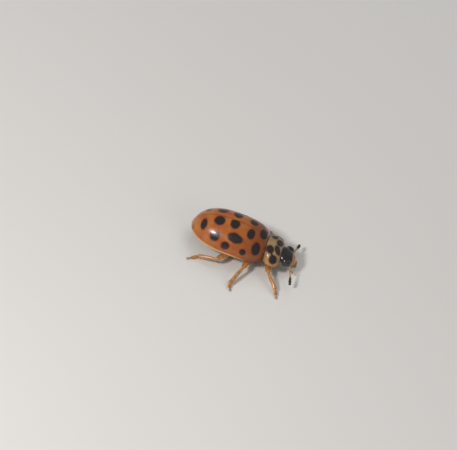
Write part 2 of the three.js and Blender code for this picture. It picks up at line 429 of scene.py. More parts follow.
# The share of the height under the shield that the ring fills at its rear, and its fall for each
# millimetre forward.
COLLAR_FILL = 0.92
COLLAR_FALL = 0.6


def neck_width(x):
    return NECK_HALF_WIDTH * swell(x, NECK_SIDES_START_X, NECK_WIDEST_X, NECK_SIDES_END_X, 2.4, 2)


def neck_top(x):
    fallen = max(0.0, x - NECK_HIGHEST_X) / (NECK_LOWEST_X - NECK_HIGHEST_X)
    return MARGIN_Z + NECK_HEIGHT * fullness(fallen, 1.5)


def collar_end(x):
    """How full the ring still is where it narrows to the neck."""
    return fullness(max(0.0, x - COLLAR_FULL) / (COLLAR_FRONT - COLLAR_FULL), 2.2)


def collar_width(x):
    return (neck_width(x) - COLLAR_INSET) * collar_end(x)


def collar_top(x):
    fill = COLLAR_FILL - COLLAR_FALL * (x - COLLAR_REAR)
    return BODY_Z + (neck_top(x) - BODY_Z) * fill * collar_end(x)


def collar_belly(x):
    return BODY_Z - COLLAR_DEPTH * collar_end(x)


collar = (COLLAR_BACK, COLLAR_FRONT, collar_width, collar_top, collar_belly)
prothorax = ring_box("prothorax_ring", *collar, behind=COLLAR_REAR)
settle(prothorax, belly_finish, "underside", "prothorax")

# ---- Wing cases ----
# Two hard, thin, glossy shells, hinged at their bases, that meet in a seam along the back. Each has a
# narrow upturned gutter along its side, a turned-in rim below it, and fine pits all over. Each carries
# nine black spots, and both share the nineteenth, round the scutellum.

GUTTER = 0.028
CASE_THICKNESS = 0.014
CASE_LIP = 0.006
CASE_TURNED_IN = 0.11
SEAM_WIDTH = 0.001
BASE_X = 0.874
BASE_ROUNDING = 0.14
BASE_NARROWING = 0.4
BASE_CORNER_Y = 0.3
BASE_ARC_RADIUS = 3.6
BOW_START_X = 0.1
BOW_FULL_X = BASE_X - 0.2

ORANGE = (0.41, 0.099, 0.015)
LIGHT_ORANGE = (0.475, 0.164, 0.027)
FRONT_SHADE_RED = (0.175, 0.036, 0.008)
FLANK_SHADE_RED = (0.30, 0.066, 0.015)
GUTTER_BUFF_HIGHLIGHT = (0.82, 0.50, 0.22)
SEAM_BROWN = (0.11, 0.02, 0.006)
TIP_DARK_BROWN = (0.10, 0.025, 0.012)
SPOT_EDGE = (0.22, 0.043, 0.011)
SPOT_BLACK = (0.018, 0.012, 0.010)
PIT_EDGE = 0.36
# How far the clouds shift the edges of the spots.
WAVE = 0.06


def mirrored_spot(spot):
    """The same spot on the other side of the body."""
    (x, y, z), size, turn = spot
    return (x, -y, z), size, -turn


# Each spot: its middle, its half length along the body and across it, and its turn.
SHARED_SPOT = ((0.67, 0.0, 1.17), (0.16, 0.25), 0.0)
FLANK_SPOTS = (
    ((-0.24, -0.67, 1.12), (0.28, 0.175), 0.165),
    ((-0.97, -0.77, 0.97), (0.18, 0.18), 0.0),
    ((0.17, -0.91, 0.8), (0.12, 0.12), 0.0),
    ((-0.5, -0.91, 0.82), (0.155, 0.15), 0.0),
    ((-1.47, -0.42, 1.03), (0.105, 0.21), -0.12),
)
SPOTS = {
    "right": (
        SHARED_SPOT,
        ((0.24, -0.31, 1.25), (0.145, 0.22), 0.0),
        ((-0.42, -0.18, 1.33), (0.17, 0.21), 0.1),
        ((-0.98, -0.23, 1.28), (0.19, 0.2), -0.1),
        ((0.58, -0.67, 0.98), (0.17, 0.25), -0.15),
        *FLANK_SPOTS,
    ),
    "left": (
        SHARED_SPOT,
        ((0.21, 0.31, 1.25), (0.145, 0.2), 0.0),
        ((-0.43, 0.35, 1.29), (0.16, 0.2), -0.1),
        ((-0.99, 0.38, 1.24), (0.18, 0.2), 0.1),
        ((0.55, 0.62, 1.02), (0.17, 0.25), 0.15),
        *(mirrored_spot(spot) for spot in FLANK_SPOTS),
    ),
}
# A faint brown darkening on the edge near the tip.
TIP_DARKENING = ((-1.8, -0.3, 0.6), (0.07, 0.13), 0.5)
TIP_DARKENINGS = {"right": TIP_DARKENING, "left": mirrored_spot(TIP_DARKENING)}


def nearest_spot(place, spots):
    """How far a place is from the nearest spot's middle: below 1 inside a spot."""
    waves = place.noise(7.0, output="Color").vector("SUBTRACT", (0.5, 0.5, 0.5))
    place = place.vector("ADD", waves.vector("MULTIPLY", (WAVE, WAVE, WAVE)))
    nearest = None
    for middle, (along, across), turn in spots:
        away = place.vector("SUBTRACT", middle)
        if turn:
            settings = {"rotation_type": "Z_AXIS"}
            away = away.node("ShaderNodeVectorRotate", settings, {"Vector": away, "Angle": turn})
        share = away.vector("DIVIDE", (along, across, across)).length()
        nearest = nearest.least(share) if nearest else share
    return nearest


def case_finish(side):
    material, place = start_finish("case_lacquer_" + side, Coat_Weight=0.3, Coat_Roughness=0.05)
    share = nearest_spot(place, SPOTS[side])
    clouds = place.noise(2.6, 3.0)
    # Darker and redder towards the front: a redder tone at the bases, with painted shade along them by the
    # neck shield.
    toward_front = place.axis("X").between(-0.45, 0.65)
    colour = clouds.between(0.35, 0.7).blend(ORANGE, LIGHT_ORANGE)
    colour = (toward_front * 0.75).blend(colour, FRONT_SHADE_RED)
    # Painted shade: the low sides of the cases are darker and redder.
    flank = 1 - place.axis("Z").between(MARGIN_Z, 0.8)
    colour = (flank * 0.35).blend(colour, FLANK_SHADE_RED)
    # A pale buff rim along the gutter, away from the front: the rim's own paler tone, brightened into a
    # painted highlight where the key light catches it.
    gutter = 1 - place.axis("Z").between(0.535, 0.56)
    colour = (gutter * (1 - toward_front) * 0.75).blend(colour, GUTTER_BUFF_HIGHLIGHT)
    seam = 1 - place.axis("Y").size().between(0.008, 0.022)
    colour = (seam * 0.7).blend(colour, SEAM_BROWN)
    tip_dark = 1 - nearest_spot(place, [TIP_DARKENINGS[side]]).between(0.5, 1.3)
    colour = (tip_dark * 0.7).blend(colour, TIP_DARK_BROWN)
    colour = (1 - share.between(0.95, 1.35)).blend(colour, SPOT_EDGE)
    colour = (1 - share.between(0.88, 1.04)).blend(colour, SPOT_BLACK)
    pits = place.cells(38.0).between(0.0, PIT_EDGE)
    return dress(material, colour, clouds * 0.15 + 0.22, pits, 0.0016)


def pick(piece, test):
    """In edit mode, selects the vertices whose place passes the test, with the faces between them."""
    mesh = bmesh.from_edit_mesh(piece.data)
    for vertex in mesh.verts:
        vertex.select = bool(test(vertex.co))
    mesh.select_flush_mode()
    bmesh.update_edit_mesh(piece.data)


def trim(piece, test):
    """Deletes the vertices whose place passes the test."""
    open_up(piece)
    pick(piece, test)
    bpy.ops.mesh.delete(type="VERT")
    close_up()


def copy_of(piece, name):
    only(piece)
    bpy.ops.object.duplicate()
    made = bpy.context.object
    made.name = name
    return made


def resized(piece, size):
    """Scales a piece about the middle of the body, and fixes that in its mesh."""
    only(piece)
    piece.scale = size
    bpy.ops.object.transform_apply()
    return piece


def mirrored(piece, name):
    """A copy of a piece for the other side of the body."""
    return resized(copy_of(piece, name), (1, -1, 1))


def dome(name, rear, front, half_width, top, around, along):
    """A closed dome on the level of a shell's margin. Its underside is trimmed away later."""
    return long_body(name, rear, front, MARGIN_Z, half_width, top, lambda x: MARGIN_Z - 0.05, around, along)


def bow_forward(piece, bow):
    """Moves every vertex forward by what the function says for its X and Y."""
    reshape(piece, lambda at: at + Vector((bow(at.x, at.y), 0, 0)))


def open_below(piece):
    """Leaves only the upper half of a closed dome."""
    trim(piece, lambda at: at.z < MARGIN_Z - CLOSE)


def hem(shell, on_edge, turned_in, grow, still_x):
    """Draws the side edge of a shell out into a gutter, and turns it in below. Each step goes so far
    outward and so far up. What lies at still_x stays where it is along the body."""
    gutter = ((GUTTER * 0.55, -0.013), (GUTTER * 0.45, 0.014))
    steps = (*gutter, (0.004, -0.01), (-0.004, -0.018), (-0.012, -0.003), (-turned_in, 0.008))
    open_up(shell)
    pick(shell, on_edge)
    for outward, rise in steps:
        bpy.ops.mesh.extrude_region()
        larger = (1 + outward * grow[0], 1 + outward * grow[1], 1)
        bpy.ops.transform.resize(value=larger, center_override=(still_x, 0, 0))
        bpy.ops.transform.translate(value=(0, 0, rise))
    close_up()


def thicken(shell, thickness, lip):
    """Gives a shell its wall, and rounds off its sharp edges."""
    modify(shell, "SOLIDIFY", thickness=thickness, offset=-1)
    round_off(shell, lip, 2, 55)


def sag(y, radius):
    """How far an arc of this radius has bent away at a distance from the midline."""
    return radius - math.sqrt(radius**2 - y**2)


def case_bow(x, y):
    """The bases of the wing cases bow forward at the sides, along the hind edge of the neck shield."""
    share = min(1.0, max(0.0, (x - BOW_START_X) / (BOW_FULL_X - BOW_START_X)))
    return share * sag(y, BASE_ARC_RADIUS)


def inside_gutter(x, still_x):
    """The place on the outer outline that answers to a place on the dome inside the gutter."""
    if x >= still_x:
        return x
    return still_x + (x - still_x) * (REAR_TIP - still_x) / (REAR_TIP + GUTTER - still_x)


def base_drop(x):
    """How far the back of a wing case has rounded down to its base."""
    return BASE_ROUNDING * (1 - fullness(max(0.0, 1 - (BASE_X - x) / BASE_ROUNDING), 2))


def inner_case_width(x):
    """The width of the dome inside the gutter. The bow depends on the width, so it takes a few rounds."""
    x = inside_gutter(x, CASE_WIDEST_X)
    width = case_width(x)
    for _ in range(4):
        width = case_width(x + case_bow(x, width))
    return width * (1 - GUTTER / CASE_HALF_WIDTH) - BASE_NARROWING * base_drop(x)


def inner_case_top(x):
    return case_top(inside_gutter(x, CASE_HIGHEST_X)) - base_drop(x)


case = dome("elytron_right_case", REAR_TIP + GUTTER, BASE_X, inner_case_width, inner_case_top, 144, 112)
bow_forward(case, case_bow)
open_below(case)
trim(case, lambda at: at.y > CLOSE)
open_up(case)
pick(case, lambda at: at.y > -CLOSE)
bpy.ops.transform.translate(value=(0, -SEAM_WIDTH / 2, 0))
close_up()
front_corner_x = max(vertex.co.x for vertex in case.data.vertices)
hem(
    case,
    lambda at: at.z < MARGIN_Z + CLOSE and (at.x < 0 or at.y < -BASE_CORNER_Y),
    CASE_TURNED_IN,
    (1 / (front_corner_x - REAR_TIP), 1 / CASE_HALF_WIDTH),
    front_corner_x,
)
thicken(case, CASE_THICKNESS, CASE_LIP)
other_case = mirrored(case, "elytron_left_case")
settle(case, case_finish("right"), "wing_case", "elytron_right")
settle(other_case, case_finish("left"), "wing_case", "elytron_left")

# ---- Scutellum ----
# The small three-sided plate of hard horn between the bases of the wing cases, fixed to the thorax.
# It lies almost flush with them, and is as black as the shared spot around it.

PLATE_REAR = 0.765
PLATE_FRONT = 0.866
PLATE_HALF_WIDTH = 0.1
PLATE_PROUD = 0.005
PLATE_CROWN = 0.008
PLATE_THICKNESS = 0.016
PLATE_LIP = 0.004

plate_finish, place = start_finish("plate_lacquer", Coat_Weight=0.6, Coat_Roughness=0.08)
plate_colour = place.noise(20.0).blend((0.010, 0.008, 0.010), (0.05, 0.018, 0.010))
dress(plate_finish, plate_colour, place.noise(40.0) * 0.2 + 0.22, place.cells(40.0), 0.003)


def on_back(at):
    """Lays a flat square of half width 1 on the back, drawn in to a point at the rear."""
    from_point = (at.x + 1) / 2
    x = PLATE_REAR + (PLATE_FRONT - PLATE_REAR) * from_point
    y = PLATE_HALF_WIDTH * at.y * from_point**0.8
    rise = (inner_case_top(x) - MARGIN_Z) * fullness(y / inner_case_width(x), 2)
    return Vector((x, y, MARGIN_Z + rise + PLATE_PROUD - PLATE_CROWN * at.y**2))


select_nothing()
bpy.ops.mesh.primitive_grid_add(x_subdivisions=20, y_subdivisions=16, size=2)
plate = bpy.context.object
plate.name = "scutellum_plate"
reshape(plate, on_back)
thicken(plate, PLATE_THICKNESS, PLATE_LIP)
settle(plate, plate_finish, "wing_case", "scutellum")

# ---- Neck shield ----
# One broad, hard plate, fixed over the front ring: buff, a little see-through and yellower towards its
# thin side edges, with six black spots and a hollow front edge that takes the head.

FRONT_MIDDLE_X = 1.46
FRONT_ARC_RADIUS = 1.2
SHIELD_MIDDLE_X = 1.2
SHIELD_REAR_X = 0.877
SHIELD_TURNED_IN = 0.004
SHIELD_LIP = 0.005
CORNER_LENGTH = 0.2
REAR_CORNER = 0.2
FRONT_CORNER = 0.15
GUTTER_FULL_Y = 0.7
GUTTER_END_Y = 0.52

SHIELD_BUFF = (0.30, 0.187, 0.075)
SHIELD_CREAM = (0.375, 0.256, 0.12)
SHIELD_YELLOW = (0.56, 0.24, 0.04)
SHIELD_SPOT_EDGE = (0.16, 0.07, 0.03)

# The hind pair stands a little unevenly, and a bridge joins each of its spots to the outer one.
SHIELD_SPOTS = [((1.05, -0.34, 0.89), (0.14, 0.165), 0.0), ((1.05, 0.36, 0.89), (0.14, 0.165), 0.0)]
outer_spot = ((1.27, -0.61, 0.72), (0.15, 0.165), 0.0)
front_spot = ((1.31, -0.19, 0.81), (0.125, 0.2), -0.45)
bridge = ((1.16, -0.49, 0.83), (0.035, 0.14), -0.69)
for spot in (outer_spot, front_spot, bridge):
    SHIELD_SPOTS += [spot, mirrored_spot(spot)]

shield_finish, place = start_finish("shield_lacquer", Coat_Weight=0.55, Coat_Roughness=0.08)
share = nearest_spot(place, SHIELD_SPOTS)
outward = place.vector("SUBTRACT", (SHIELD_MIDDLE_X, 0, 0)).vector("MULTIPLY", (1.5, 1.28, 0)).length()
clouds = place.noise(4.0, 3.0)
shield_colour = clouds.between(0.35, 0.7).blend(SHIELD_BUFF, SHIELD_CREAM)
shield_colour = (outward.between(0.72, 0.98) * 0.8).blend(shield_colour, SHIELD_YELLOW)
shield_colour = (1 - share.between(0.95, 1.3)).blend(shield_colour, SHIELD_SPOT_EDGE)
shield_colour = (1 - share.between(0.86, 1.05)).blend(shield_colour, SPOT_BLACK)
dress(shield_finish, shield_colour, clouds * 0.15 + 0.22, place.cells(40.0).between(0.0, PIT_EDGE), 0.0012)


def shield_bow(x, y):
    """Both edges bow: the hind one along the wing cases, and the front one round the head."""
    share = min(1.0, max(0.0, (x - SHIELD_REAR_X) / (FRONT_MIDDLE_X - SHIELD_REAR_X)))
    return (1 - share) * sag(y, BASE_ARC_RADIUS) + share * sag(y, FRONT_ARC_RADIUS)


def shield_width(x):
    """The width inside the gutter. The bow is steep, so it takes many rounds."""
    width = neck_width(x)
    for _ in range(30):
        width = (width + neck_width(x + shield_bow(x, width))) / 2
    for from_corner, cut in ((x - SHIELD_REAR_X, REAR_CORNER), (FRONT_MIDDLE_X - x, FRONT_CORNER)):
        width -= cut * (1 - fullness(max(0.0, 1 - from_corner / CORNER_LENGTH), 2))
    return width * (1 - GUTTER / NECK_HALF_WIDTH)


shield = dome("pronotum_shield", SHIELD_REAR_X, FRONT_MIDDLE_X, shield_width, neck_top, 128, 72)
# Without its two poles the dome is open in front and behind.
trim(shield, lambda at: abs(at.y) < CLOSE and abs(at.z - MARGIN_Z) < CLOSE)
bow_forward(shield, shield_bow)
open_below(shield)
margin = [vertex.co.copy() for vertex in shield.data.vertices if abs(vertex.co.z - MARGIN_Z) < CLOSE]


def narrowed_gutter(at):
    """The gutter dies away where the side edge turns in towards the hollow front edge."""
    if at.x < SHIELD_MIDDLE_X or at.z > MARGIN_Z + 0.005:
        return at
    root = min(margin, key=lambda root: abs(root.x - at.x) + 0.01 * abs(root.y - at.y))
    turned_in = (GUTTER_FULL_Y - abs(root.y)) / (GUTTER_FULL_Y - GUTTER_END_Y)
    return root.lerp(at, 1 - 0.9 * min(1.0, max(0.0, turned_in)))


sideways_only = (0, 1 / NECK_HALF_WIDTH)
hem(shield, lambda at: at.z < MARGIN_Z + CLOSE, SHIELD_TURNED_IN, sideways_only, SHIELD_MIDDLE_X)
reshape(shield, narrowed_gutter)
thicken(shield, CASE_THICKNESS, SHIELD_LIP)
settle(shield, shield_finish, "neck_shield", "pronotum")

# ---- Head capsule ----
# A hard black capsule, wider than long, seated in the neck, that looks forward and down from under the
# neck shield. Its face, below a cross groove, is brown.

NECK_X = 1.45
HEAD_PITCH = 0.5
HEAD_YAW = 0.06
HEAD_PLACE = (1.71, 0, 0.49)
HEAD_HALF_LENGTH = 0.35
HEAD_END = 0.37
HEAD_HALF_WIDTH = 0.4
HEAD_RISE = 0.215
HEAD_DEPTH = 0.2
FACE_GROOVE = 0.165
HEAD_BLACK = (0.010, 0.010, 0.012)
FACE_BROWN = (0.42, 0.17, 0.05)
HEAD_MOTTLE = (0.12, 0.05, 0.02)


def head_matrix(x, y, z):
    """Where a piece of the head goes: pitched like the head, and turned with it about the neck."""
    turn = Matrix.Translation((NECK_X, 0, 0)) @ Matrix.Rotation(HEAD_YAW, 4, "Z")
    return turn @ Matrix.Translation((x - NECK_X, y, z)) @ Matrix.Rotation(HEAD_PITCH, 4, "Y")


def set_in(piece, matrix):
    """Moves a piece from its own middle to its place on the body."""
    only(piece)
    piece.matrix_world = matrix
    bpy.ops.object.transform_apply()


def on_head(place, x, y, z):
    """A place as it is seen from a piece of the head: X out of its front, Z out of its top."""
    settings = {"vector_type": "TEXTURE"}
    matrix = head_matrix(x, y, z)
    inputs = {"Vector": place, "Location": matrix.translation, "Rotation": matrix.to_euler()}
    return place.node("ShaderNodeMapping", settings, inputs)


def head_width(x):
    return HEAD_HALF_WIDTH * swell(x, -HEAD_END, -0.02, 0.36, 2.4, 2.2)


def head_top(x):
    return HEAD_RISE * swell(x, -HEAD_END, -0.04, 0.365, 2.2, 2.4)


def head_bottom(x):
    return -HEAD_DEPTH * swell(x, -HEAD_END, 0.0, 0.36, 2.2, 2.6)


head_finish, place = start_finish("head_lacquer", Coat_Weight=0.6, Coat_Roughness=0.06)
local = on_head(place, *HEAD_PLACE)
sideways = local.axis("Y")
face = (local.axis("X") - sideways * sideways * 0.9 + local.noise(9.0) * 0.05 - 0.025).between(0.08, 0.13)
head_colour = face.blend(HEAD_BLACK, FACE_BROWN)
head_colour = (local.noise(12.0, 3.0).between(0.4, 0.75) * 0.2).blend(head_colour, HEAD_MOTTLE)
pits = local.cells(40.0).between(0.0, PIT_EDGE)
dress(head_finish, head_colour, local.noise(25.0) * 0.2 + 0.2, pits, 0.0016)

head_ends = (-HEAD_HALF_LENGTH, HEAD_HALF_LENGTH)
head = long_body("head", *head_ends, 0, head_width, head_top, head_bottom, 88, 72)
# The groove is drawn in, and the middle of the face below it bulges a little.
open_up(head)
pick(head, lambda at: abs(at.x - FACE_GROOVE) < 0.012 and at.z > -0.05 and abs(at.y) < 0.27)
bpy.ops.transform.resize(value=(1, 0.985, 0.94), center_override=(0, 0, 0))
pick(head, lambda at: at.x > FACE_GROOVE + 0.03 and at.z > 0 and abs(at.y) < 0.14)
bpy.ops.transform.translate(value=(0.012, 0, 0.004))
close_up()
set_in(head, head_matrix(*HEAD_PLACE))
settle(head, head_finish, "head_black", "head_capsule", crease=50)

# ---- Eyes ----
# Two bulging compound eyes, let into the sides of the head capsule. Each is a black and very glossy
# skin of several hundred domed facets.

EYE_PLACE = (1.735, 0.345, 0.515)
EYE_SIZE = (0.18, 0.125, 0.165)
FACET_RIM = 0.012
FACET_DOME = 0.008

eye_finish, place = start_finish("eye_gloss", Coat_Weight=1.0, Coat_Roughness=0.03)
sheen = place.noise(14.0).between(0.35, 0.7)
dress(eye_finish, sheen.blend((0.006, 0.006, 0.008), (0.018, 0.016, 0.022)), sheen * 0.1 + 0.12)

select_nothing()
bpy.ops.mesh.primitive_ico_sphere_add(subdivisions=4, radius=1)
eye = bpy.context.object
eye.name = "eye_right_lens"
# The corners of the ball's triangles are cut off until they meet. That leaves small triangles, and the
# facets, which have five or six corners.
open_up(eye)
bpy.ops.mesh.select_all(action="SELECT")
bpy.ops.mesh.bevel(affect="VERTICES", offset_type="PERCENT", offset_pct=50)
bpy.ops.mesh.remove_doubles(threshold=LEAST_RADIUS)
mesh = bmesh.from_edit_mesh(eye.data)
for facet in mesh.faces:
    facet.select_set(len(facet.verts) >= 5)
bmesh.update_edit_mesh(eye.data)
bpy.ops.mesh.select_mode(type="FACE")
for dome_height in (FACET_DOME, FACET_DOME / 2):
    bpy.ops.mesh.inset(thickness=FACET_RIM, depth=dome_height, use_individual=True)
close_up()
resized(eye, EYE_SIZE)
other_eye = copy_of(eye, "eye_left_lens")
for lens, side, node in ((eye, -1, "eye_right"), (other_eye, 1, "eye_left")):
    x, y, z = EYE_PLACE
    set_in(lens, head_matrix(x, side * y, z))
    settle(lens, eye_finish, "eye", node, crease=25)

# ---- Upper lip ----
# A thin plate of brown horn, hinged under the front of the face, which covers the jaws. It is darker
# along its rounded edge, and a little notched in the middle.

LIP_PLACE = (2.025, 0, 0.31)
LIP_HALF_LENGTH = 0.13
LIP_HALF_WIDTH = 0.225
LIP_RISE = 0.036
LIP_NOTCH = 0.014


def lip_width(x):
    return LIP_HALF_WIDTH * swell(x, -0.16, -0.03, 0.14, 2.6, 3)


def lip_top(x):
    return LIP_RISE * swell(x, -0.15, -0.02, 0.14, 2.4, 2.4)


def notched(at, depth, width):
    """Draws the middle of a front edge back."""
    return at - Vector((depth * ridge(at.y, width) * max(0.0, at.x / LIP_HALF_LENGTH) ** 2, 0, 0))


mouth_finish, place = start_finish("mouth_horn", Coat_Weight=0.4, Coat_Roughness=0.12)
grain = place.noise(16.0, 4.0)
mouth_colour = grain.between(0.35, 0.7).blend((0.30, 0.12, 0.035), (0.45, 0.21, 0.075))
mouth_colour = place.axis("X").between(2.06, 2.16).blend(mouth_colour, (0.13, 0.04, 0.012))
dress(mouth_finish, mouth_colour, grain * 0.25 + 0.25, grain, 0.004)

lip_ends = (-LIP_HALF_LENGTH, LIP_HALF_LENGTH)
upper_lip = long_body("upper_lip", *lip_ends, 0, lip_width, lip_top, lambda x: -lip_top(x), 48, 28)
reshape(upper_lip, lambda at: notched(at, LIP_NOTCH, 0.12))
set_in(upper_lip, head_matrix(*LIP_PLACE))
settle(upper_lip, mouth_finish, "mouth", "labrum")

# ---- Jaws and lower lip ----
# Two curved jaws of hard horn, hinged to the head, that close from both sides under the upper lip, and
# the softer lower lip behind them.

JAW_CURVE = 0.09
CHIN_PLACE = (1.86, 0, 0.22)
CHIN_SIZE = (0.13, 0.15, 0.085)
CHIN_NOTCH = 0.03


def joined(name, *pieces):
    """Several loose pieces as one."""
    select_nothing()
    for piece in pieces:
        piece.select_set(True)
    bpy.context.view_layer.objects.active = pieces[0]
    bpy.ops.object.join()
    pieces[0].name = name
    return pieces[0]


def rounded(share, cap):
    """1 along a limb, and round towards both ends, over a cap that is a share of its length."""
    return fullness(max(0.0, 1 - min(share, 1 - share) / cap), 2)


def laid(piece, start, end, wide=1.0, high=1.0, length=1.0, up=(0, 0, 1)):
    """Moves a limb that was shaped from 0 to its length along X, so that it runs from start to end."""
    along = Vector(end) - Vector(start)
    ahead = along.normalized()
    side = Vector(up).cross(ahead).normalized()
    turn = Matrix((ahead, side, ahead.cross(side))).transposed().to_4x4()
    stretch = Matrix.Diagonal((along.length / length, wide, high, 1))
    set_in(piece, Matrix.Translation(start) @ turn @ stretch)
    return piece


def limb(name, around, along, half_width, top=None, bottom=None):
    """A limb of length 1 along X. It is as high as it is wide, and as low as it is high, unless the
    functions for its top and bottom say otherwise."""
    top = top or half_width
    bottom = bottom or (lambda t: -top(t))
    return long_body(name, 0, 1, 0, half_width, top, bottom, around, along)


jaw = limb(
    "jaw",
    24,
    28,
    lambda t: rounded(t, 0.12) * (0.05 - 0.03 * t),
    lambda t: 0.03 * rounded(t, 0.12) * (1 - 0.6 * t),
)
reshape(jaw, lambda at: at + Vector((0, JAW_CURVE * at.x**2.5, 0)))
other_jaw = mirrored(jaw, "other_jaw")
for piece, side in ((jaw, -1), (other_jaw, 1)):
    laid(piece, (1.86, side * 0.15, 0.26), (2.05, side * 0.09, 0.16))
chin = resized(ball("chin", 32, 20), CHIN_SIZE)
reshape(chin, lambda at: at - Vector((CHIN_NOTCH * ridge(at.y, 0.06) * max(0.0, at.x / CHIN_SIZE[0]), 0, 0)))
set_in(chin, head_matrix(*CHIN_PLACE))
settle(joined("jaws_and_chin", chin, jaw, other_jaw), mouth_finish, "mouth", "mouthparts")

# ---- Palps ----
# A pair of four-jointed feelers of the mouth, of the same brown horn, hinged beside the lower lip. The
# last joint is broad and cut off slantwise, like the blade of an axe.

PALP_BENDS = (
    (1.86, 0.17, 0.27),
    (1.91, 0.235, 0.235),
    (1.97, 0.275, 0.21),
    (2.02, 0.29, 0.185),
    (2.1, 0.3, 0.14),
)
PALP_RADIUS = 0.032
BLADE_WIDTH = 0.06
BLADE_HEIGHT = 0.04
BLADE_SLANT = 0.22
SIDES = {"right": -1, "left": 1}


def remove(*pieces):
    """Clears away the patterns that copies were made of."""
    for piece in pieces:
        bpy.data.objects.remove(piece)


palp_joint = limb("palp_joint", 24, 24, lambda t: rounded(t, 0.3) * (0.6 + 0.4 * t))
palp_blade = limb(
    "palp_blade",
    32,
    32,
    lambda t: rounded(t, 0.1) * (0.4 + 0.8 * t),
    lambda t: rounded(t, 0.1) * (0.4 + 0.25 * t),
)
reshape(palp_blade, lambda at: at - Vector((BLADE_SLANT * at.y * max(0.0, at.x) ** 2, 0, 0)))
for name, side in SIDES.items():
    bends = [Vector((x, side * y, z)) for x, y, z in PALP_BENDS]
    parts = []
    for start, end in zip(bends[:-2], bends[1:-1]):
        parts.append(laid(copy_of(palp_joint, "joint"), start, end, PALP_RADIUS, PALP_RADIUS))
    blade = copy_of(palp_blade, "blade")
    parts.append(laid(blade, bends[-2], bends[-1], side * -BLADE_WIDTH, BLADE_HEIGHT))
    settle(joined(f"palp_{name}_joints", *parts), mouth_finish, "mouth", f"palp_{name}")
remove(palp_joint, palp_blade)

# ---- Feelers ----
# Eleven joints of thin horn each, let into the face in front of the eyes: a stout first one, slender
# pale ones, and a loose black club of three at the end. Each joint is seated in the one before it.

FEELERS = {
    "right": ((1.9, -0.33, 0.42), (2.07, -0.76, 0.33), (2.14, -1.06, 0.27)),
    "left": ((1.87, 0.35, 0.42), (1.95, 0.78, 0.31), (1.99, 1.06, 0.26)),
}
SHAFT_RADII = (0.052, 0.042, 0.034, 0.032, 0.031, 0.032, 0.034, 0.038)
CLUB_RADII = (0.055, 0.068, 0.06)
SHAFT_ARCH = 0.03
JOINT_OVERLAP = 0.08

feeler_finish, place = start_finish("feeler_horn", Coat_Weight=0.3, Coat_Roughness=0.15)
tone = place.noise(18.0)
dress(feeler_finish, tone.blend((0.42, 0.22, 0.08), (0.58, 0.36, 0.16)), tone * 0.2 + 0.3, tone, 0.003)
club_finish, place = start_finish("club_horn", Coat_Weight=0.3, Coat_Roughness=0.2)
tone = place.noise(22.0)
dress(club_finish, tone.blend((0.02, 0.014, 0.011), (0.07, 0.04, 0.025)), tone * 0.2 + 0.35, tone, 0.003)

goblet = limb("goblet", 18, 16, lambda t: rounded(t, 0.22) * (0.55 + 0.45 * t))


def chain(name, start, end, radii, arch):
    """Goblet-shaped joints in an arched row. The wider a joint is, the longer it is."""
    start, end = Vector(start), Vector(end)
    total = sum(radii)
    parts = []
    reached = 0.0
    for radius in radii:
        ends = []
        for share in (reached / total, (reached + radius) / total):
            ends.append(start.lerp(end, share) + Vector((0, 0, arch * 4 * share * (1 - share))))
        reached += radius
        overlap = (ends[1] - ends[0]) * JOINT_OVERLAP
        parts.append(laid(copy_of(goblet, "joint"), ends[0] - overlap, ends[1], radius, radius))
    return joined(name, *parts)


for name, (base, bend, tip) in FEELERS.items():
    shaft = chain(f"feeler_{name}_shaft", base, bend, SHAFT_RADII, SHAFT_ARCH)
    settle(shaft, feeler_finish, "leg", f"feeler_{name}")
    club = chain(f"feeler_{name}_club", bend, tip, CLUB_RADII, 0.0)
    settle(club, club_finish, "feeler_club", f"feeler_club_{name}")
remove(goblet)

# ---- Legs ----
# Six walking legs of thin, springy horn: a round hip in its socket, a flattened thigh, a straight hairy
# shin, a foot of a narrow, a lobed and a long joint, and a pair of hooked claws.

# The hips are at the sockets. Then come each leg's knee, ankle and toe.
HIP_Z = 0.27
LEGS = {
    ("front", "right"): ((1.27, -0.93, 0.34), (1.72, -1.39, 0.12), (1.83, -1.66, 0.045)),
    ("middle", "right"): ((0.38, -1.15, 0.34), (0.11, -1.92, 0.12), (0.2, -2.11, 0.045)),
    ("hind", "right"): ((-0.62, -1.2, 0.33), (-1.28, -1.14, 0.12), (-1.56, -1.34, 0.045)),
    ("front", "left"): ((1.12, 0.94, 0.34), (0.96, 1.24, 0.12), (0.88, 1.44, 0.045)),
    ("middle", "left"): ((0.4, 1.08, 0.34), (0.12, 1.4, 0.12), (-0.05, 1.58, 0.045)),
    ("hind", "left"): ((-0.42, 1.06, 0.33), (-1.0, 1.2, 0.12), (-1.26, 1.35, 0.045)),
}
HIP_SIZE = (0.13, 0.13, 0.075)
HIP_RISE = 0.01
THIGH_HALF_WIDTH = 0.112
THIGH_HALF_HEIGHT = 0.078
KNEE_OVERLAP = 0.05
SHIN_LENGTH = 0.65
SHIN_ARCH = 0.02
FOOT_LENGTH = 0.3
NARROW_JOINT_LENGTH = 0.115
CLAW_LENGTH = 0.085
CLAW_OVERLAP = 0.008
CLAW_HOOK = 0.045
HAIR_RADIUS = 0.0035
HAIR_TIP_RADIUS = 0.0006
HAIR_SEED = 19

leg_finish, place = start_finish("leg_horn", Coat_Weight=0.45, Coat_Roughness=0.12)
tone = place.noise(8.0, 3.0)
leg_colour = tone.between(0.3, 0.7).blend((0.40, 0.15, 0.035), (0.60, 0.29, 0.09))
near_body = 1 - place.axis("Y").size().between(0.35, 1.0)
leg_colour = (near_body * 0.6).blend(leg_colour, (0.22, 0.07, 0.02))
dress(leg_finish, leg_colour, tone * 0.2 + 0.22, place.noise(60.0), 0.002)
claw_finish, place = start_finish("claw_horn", Coat_Weight=0.5, Coat_Roughness=0.1)
tone = place.noise(30.0)
dress(claw_finish, tone.blend((0.10, 0.03, 0.012), (0.20, 0.07, 0.025)), tone * 0.2 + 0.25)

